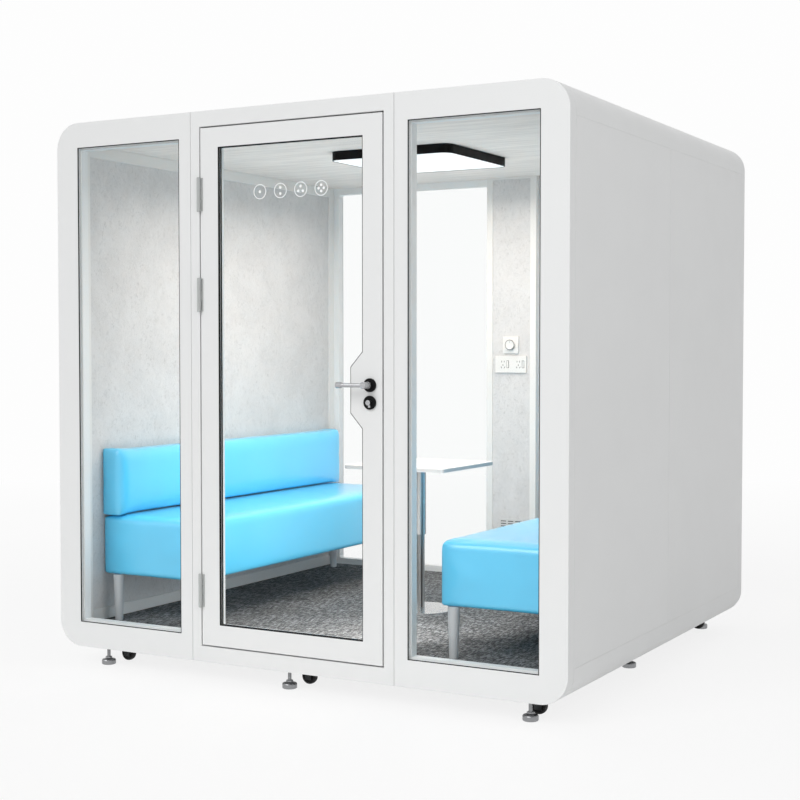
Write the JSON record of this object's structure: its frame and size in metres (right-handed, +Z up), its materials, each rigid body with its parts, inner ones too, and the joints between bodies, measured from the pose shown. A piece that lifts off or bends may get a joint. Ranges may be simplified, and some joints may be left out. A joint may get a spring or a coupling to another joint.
{
  "type": "portable vocal booth",
  "caption": "Free-standing acoustic booth with rounded metal shell, glazed door, tall windows, facing benches and a small pedestal table inside.",
  "frame": {"origin": "on the ground, below the middle of the whole object's box, the outer door lever included", "axes": "+X to the right of someone who faces the door from outside, +Y from the door to the rear wall, +Z up"},
  "size_m": [2.35, 2.21, 2.3],
  "materials": {
    "white_paint": "satin powder coat",
    "side_paint": "satin powder coat",
    "clear_glass": "clear laminated",
    "black_rubber": "matt",
    "core_board": "raw board",
    "wall_felt": "marbled felt",
    "carpet_pile": "speckled loop pile",
    "white_plastic": "satin",
    "ceiling_board": "streaked laminate",
    "black_plastic": "satin",
    "diffuser_white": "frosted",
    "hinge_metal": "satin",
    "satin_steel": "brushed",
    "zinc_steel": "zinc plated",
    "structure_steel": "grey primer",
    "polished_chrome": "polished",
    "table_laminate": "white laminate",
    "blue_upholstery": "soft coated cloth",
    "leg_paint": "satin",
    "wheel_rubber": "moulded"
  },
  "bodies": {
    "booth": {"front_left_frame": "white_paint", "front_right_frame": "white_paint", "door_frame": "white_paint", "door_stop": "white_paint", "back_frame": "white_paint", "lower_shell": "white_paint", "roof_shell": "white_paint", "left_side_panels": "side_paint", "right_side_panels": "side_paint", "window_glass": "clear_glass", "glazing_gaskets": "black_rubber", "door_seal": "black_rubber", "wall_cores": "core_board", "floor_deck": "core_board", "felt_panels": "wall_felt", "carpet": "carpet_pile", "wall_trims": "white_plastic", "service_column": "white_plastic", "control_plates": "white_plastic", "vent_grille": "white_plastic", "ceiling_panel": "ceiling_board", "light_housing": "black_plastic", "fan_housing": "black_plastic", "light_diffuser": "diffuser_white", "frame_hinges": "hinge_metal", "strike_plate": "satin_steel", "base_frame": "structure_steel", "table_column": "polished_chrome", "table_base": "polished_chrome", "table_top": "table_laminate", "left_seat": "blue_upholstery", "left_back": "blue_upholstery", "right_seat": "blue_upholstery", "right_back": "blue_upholstery", "sofa_legs": "leg_paint"},
    "door": {"door_leaf": "white_paint", "door_glass": "clear_glass", "door_gasket": "black_rubber", "door_hinges": "hinge_metal", "lock_set": "black_plastic"},
    "lever": {"lever_handle": "satin_steel"},
    "latch": {"latch_bolt": "satin_steel"},
    "turn": {"thumb_turn": "satin_steel"},
    "bolt": {"dead_bolt": "satin_steel"},
    "dimmer": {"dimmer_knob": "white_plastic"},
    "fan": {"fan_rotor": "black_plastic"},
    "wheel_1": {"wheel_1": "wheel_rubber"},
    "wheel_2": {"wheel_2": "wheel_rubber"},
    "wheel_3": {"wheel_3": "wheel_rubber"},
    "wheel_4": {"wheel_4": "wheel_rubber"},
    "wheel_5": {"wheel_5": "wheel_rubber"},
    "wheel_6": {"wheel_6": "wheel_rubber"},
    "foot_1": {"foot_1": "zinc_steel"},
    "foot_2": {"foot_2": "zinc_steel"},
    "foot_3": {"foot_3": "zinc_steel"},
    "foot_4": {"foot_4": "zinc_steel"},
    "foot_5": {"foot_5": "zinc_steel"},
    "foot_6": {"foot_6": "zinc_steel"},
    "foot_7": {"foot_7": "zinc_steel"},
    "foot_8": {"foot_8": "zinc_steel"}
  },
  "joints": [
    {"name": "door_hinge", "type": "hinge", "parent": "booth", "child": "door", "pos_m": [-0.423, -1.054, 1.19], "axis": [0, 0, -1], "range_deg": [0, 110]},
    {"name": "lever_turn", "type": "hinge", "parent": "door", "child": "lever", "pos_m": [0.368, -1.025, 1.212], "axis": [0, -1, 0], "range_deg": [0, 40], "stiffness_Nm_per_rad": 1.5, "springref_deg": -20.05},
    {"name": "latch_slide", "type": "slide", "parent": "door", "child": "latch", "axis": [-1, 0, 0], "range_m": [0, 0.0045]},
    {"name": "thumb_turn", "type": "hinge", "parent": "door", "child": "turn", "pos_m": [0.368, -1.025, 1.146], "axis": [0, 1, 0], "range_deg": [0, 90]},
    {"name": "dead_bolt_slide", "type": "slide", "parent": "door", "child": "bolt", "axis": [1, 0, 0], "range_m": [0, 0.02]},
    {"name": "dimmer_turn", "type": "hinge", "parent": "booth", "child": "dimmer", "pos_m": [0, 1, 1.367], "axis": [0, 1, 0], "range_deg": [0, 270]},
    {"name": "fan_spin", "type": "hinge", "parent": "booth", "child": "fan", "pos_m": [0, 1.035, 0.41], "axis": [0, 1, 0], "continuous": true},
    {"name": "wheel_1_roll", "type": "hinge", "parent": "booth", "child": "wheel_1", "pos_m": [-0.915, -0.908, 0.042], "axis": [0, 1, 0], "continuous": true},
    {"name": "wheel_2_roll", "type": "hinge", "parent": "booth", "child": "wheel_2", "pos_m": [0.008, -0.908, 0.042], "axis": [0, 1, 0], "continuous": true},
    {"name": "wheel_3_roll", "type": "hinge", "parent": "booth", "child": "wheel_3", "pos_m": [1.005, -0.908, 0.042], "axis": [0, 1, 0], "continuous": true},
    {"name": "wheel_4_roll", "type": "hinge", "parent": "booth", "child": "wheel_4", "pos_m": [-0.915, 0.968, 0.042], "axis": [0, 1, 0], "continuous": true},
    {"name": "wheel_5_roll", "type": "hinge", "parent": "booth", "child": "wheel_5", "pos_m": [0.008, 0.968, 0.042], "axis": [0, 1, 0], "continuous": true},
    {"name": "wheel_6_roll", "type": "hinge", "parent": "booth", "child": "wheel_6", "pos_m": [1.005, 0.968, 0.042], "axis": [0, 1, 0], "continuous": true},
    {"name": "foot_1_level", "type": "slide", "parent": "booth", "child": "foot_1", "axis": [0, 0, 1], "range_m": [-0.015, 0.012]},
    {"name": "foot_2_level", "type": "slide", "parent": "booth", "child": "foot_2", "axis": [0, 0, 1], "range_m": [-0.015, 0.012]},
    {"name": "foot_3_level", "type": "slide", "parent": "booth", "child": "foot_3", "axis": [0, 0, 1], "range_m": [-0.015, 0.012]},
    {"name": "foot_4_level", "type": "slide", "parent": "booth", "child": "foot_4", "axis": [0, 0, 1], "range_m": [-0.015, 0.012]},
    {"name": "foot_5_level", "type": "slide", "parent": "booth", "child": "foot_5", "axis": [0, 0, 1], "range_m": [-0.015, 0.012]},
    {"name": "foot_6_level", "type": "slide", "parent": "booth", "child": "foot_6", "axis": [0, 0, 1], "range_m": [-0.015, 0.012]},
    {"name": "foot_7_level", "type": "slide", "parent": "booth", "child": "foot_7", "axis": [0, 0, 1], "range_m": [-0.015, 0.012]},
    {"name": "foot_8_level", "type": "slide", "parent": "booth", "child": "foot_8", "axis": [0, 0, 1], "range_m": [-0.015, 0.012]}
  ],
  "couplings": [
    {"joint": "latch_slide", "follows": "lever_turn", "m_per_rad": 0.0064},
    {"joint": "thumb_turn", "follows": "dead_bolt_slide", "rad_per_m": 78.53}
  ]
}
